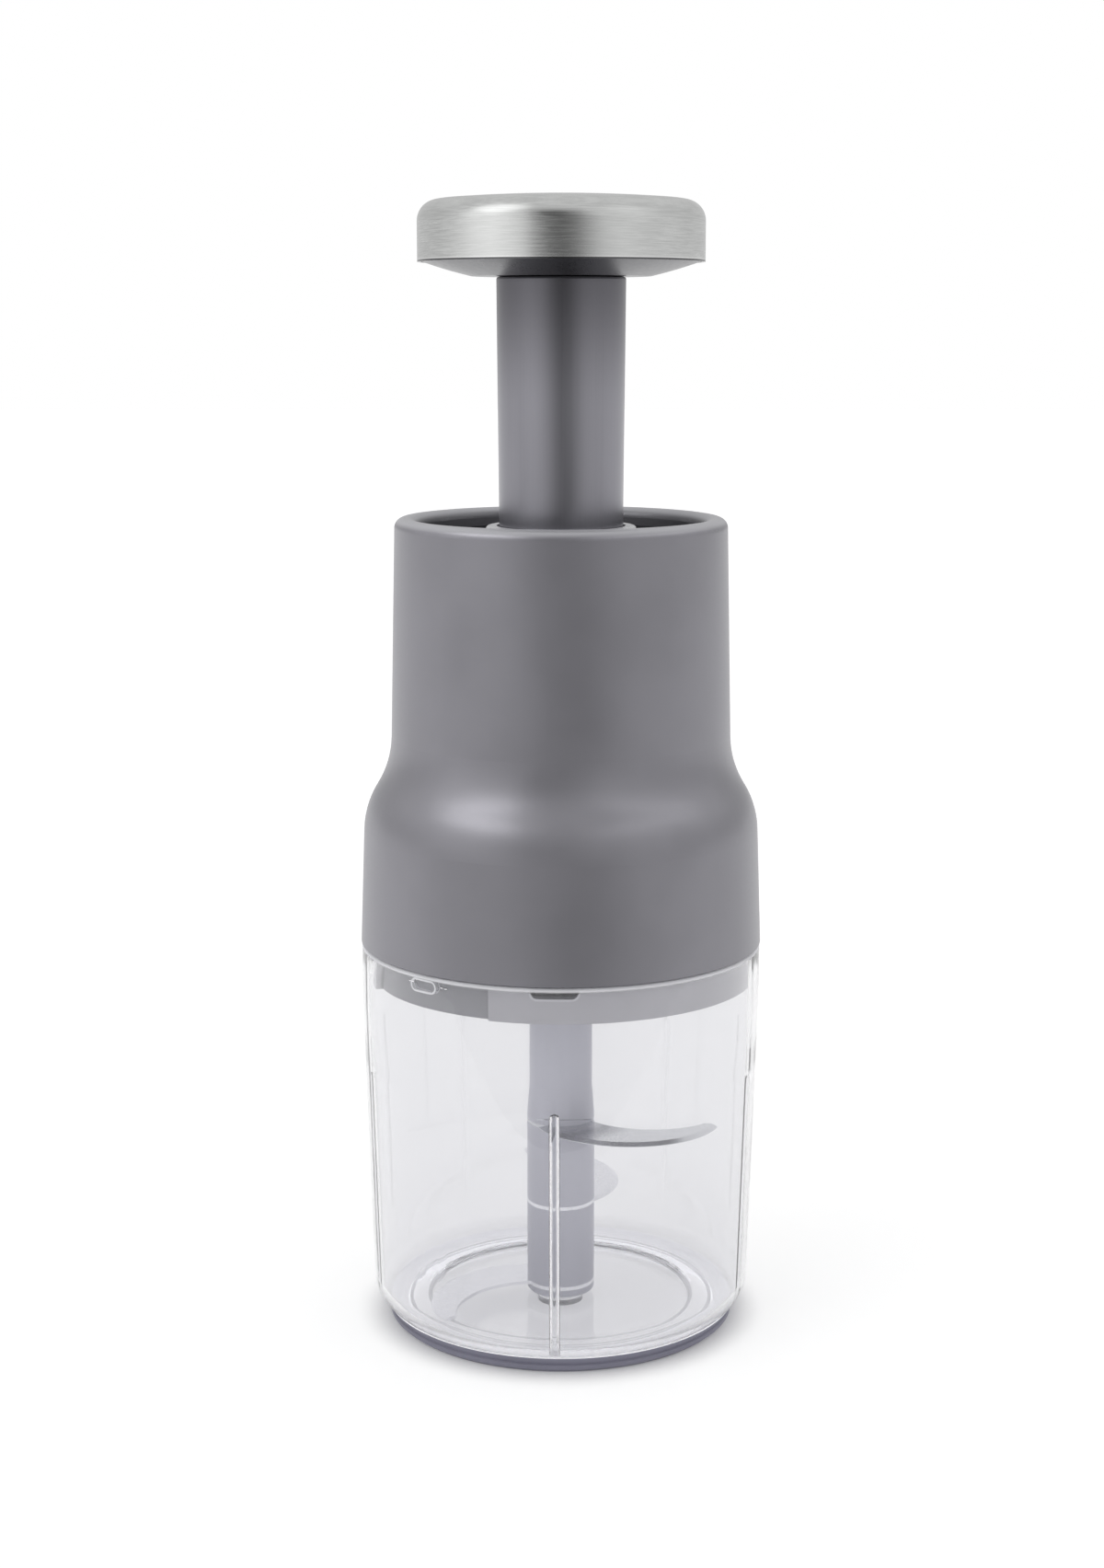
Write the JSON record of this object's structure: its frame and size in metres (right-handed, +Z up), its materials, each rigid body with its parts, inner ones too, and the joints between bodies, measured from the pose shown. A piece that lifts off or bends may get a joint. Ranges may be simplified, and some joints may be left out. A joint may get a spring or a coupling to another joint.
{
  "type": "push-down food chopper",
  "caption": "Push-down food chopper: clear jar, stacked sickle blades on a pivot, spiral-drive press head with a waisted housing and a flat round steel knob.",
  "frame": {"origin": "centre of the foot's flat face, on the table", "axes": "+Z up along the press axis, -Y towards the viewer in the picture, +X to the right"},
  "size_m": [0.0902, 0.0902, 0.2521],
  "materials": {
    "clear_plastic": "clear and polished",
    "foot_rubber": "smooth dark grey",
    "plain_steel": "plain bright steel",
    "blade_steel": "fine ground, with a bevelled edge",
    "shaft_plastic": "satin mid grey",
    "light_plastic": "natural light bearing plastic",
    "dark_plastic": "satin dark grey",
    "lid_plastic": "satin mid grey",
    "housing_plastic": "fine satin mid-dark grey",
    "stem_plastic": "satin grey with a soft sheen",
    "black_rubber": "soft black",
    "knob_underside": "fine satin",
    "knob_steel": "brushed round the axis"
  },
  "bodies": {
    "jar": {"jar": "clear_plastic", "foot_ring": "foot_rubber", "pivot_pin": "plain_steel"},
    "head": {"housing": "housing_plastic", "guide_sleeve": "dark_plastic", "guide_bush": "light_plastic", "lid_base": "lid_plastic", "lid_screws": "plain_steel", "output_bush": "light_plastic", "rod_bush": "light_plastic", "return_spring": "plain_steel"},
    "plunger": {"stem": "stem_plastic", "drive_nut": "light_plastic", "return_buffer": "black_rubber", "knob_base": "knob_underside", "knob_core": "dark_plastic", "knob_screw": "plain_steel", "knob_cap": "knob_steel"},
    "spiral": {"spiral_rod": "plain_steel", "clutch_driver": "dark_plastic", "driver_screw": "plain_steel"},
    "coupling": {"drive_coupling": "light_plastic"},
    "blade_unit": {"blade_shaft": "shaft_plastic", "blade_upper": "blade_steel", "blade_middle": "blade_steel", "blade_lower": "blade_steel", "spacer_upper": "shaft_plastic", "spacer_lower": "shaft_plastic", "shaft_cap": "shaft_plastic"}
  },
  "joints": [
    {"name": "head_lift", "type": "slide", "parent": "jar", "child": "head", "axis": [0, 0, 1], "range_m": [0, 0.1]},
    {"name": "press", "type": "slide", "parent": "head", "child": "plunger", "axis": [0, 0, -1], "range_m": [0, 0.0525], "stiffness_N_per_m": 215, "springref_m": -0.029, "deforming": ["return_spring"]},
    {"name": "spiral_turn", "type": "hinge", "parent": "head", "child": "spiral", "pos_m": [0, 0, 0.105], "axis": [0, 0, 1], "range_deg": [-545, 5]},
    {"name": "coupling_turn", "type": "hinge", "parent": "head", "child": "coupling", "pos_m": [0, 0, 0.09], "axis": [0, 0, 1], "range_deg": [-545, 5]},
    {"name": "blade_turn", "type": "hinge", "parent": "jar", "child": "blade_unit", "pos_m": [0, 0, 0.02], "axis": [0, 0, 1], "range_deg": [-545, 5]}
  ],
  "couplings": [
    {"joint": "spiral_turn", "follows": "press", "rad_per_m": -179.52},
    {"joint": "coupling_turn", "follows": "press", "rad_per_m": -179.52},
    {"joint": "blade_turn", "follows": "press", "rad_per_m": -179.52}
  ]
}
